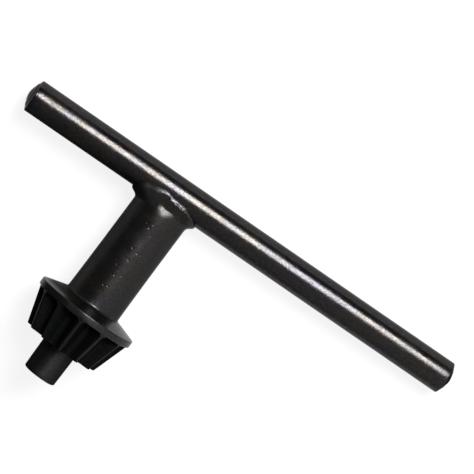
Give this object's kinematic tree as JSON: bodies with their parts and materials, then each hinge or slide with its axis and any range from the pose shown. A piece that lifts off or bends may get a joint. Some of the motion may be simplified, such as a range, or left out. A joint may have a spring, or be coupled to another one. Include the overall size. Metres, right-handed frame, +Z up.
{
  "type": "drill chuck key",
  "caption": "T-shaped key for a geared drill chuck: a round bar welded across a thick shank that ends in a bevel pinion and a plain pilot, all in blackened steel.",
  "frame": {"origin": "middle of the bottom of the key's box, on the bench that it lies on", "axes": "+X along the handle bar towards its long side, -Y from the bar towards the pinion, +Z up from the bench"},
  "size_m": [0.0878, 0.0418, 0.0186],
  "materials": {
    "bar_black_steel": "black oxide over drawn rod, with a dull sheen",
    "shank_black_steel": "black oxide over turned steel, a little rougher than the bar"
  },
  "bodies": {
    "root": {"handle_bar": "bar_black_steel", "pinion_shank": "shank_black_steel"}
  },
  "joints": []
}
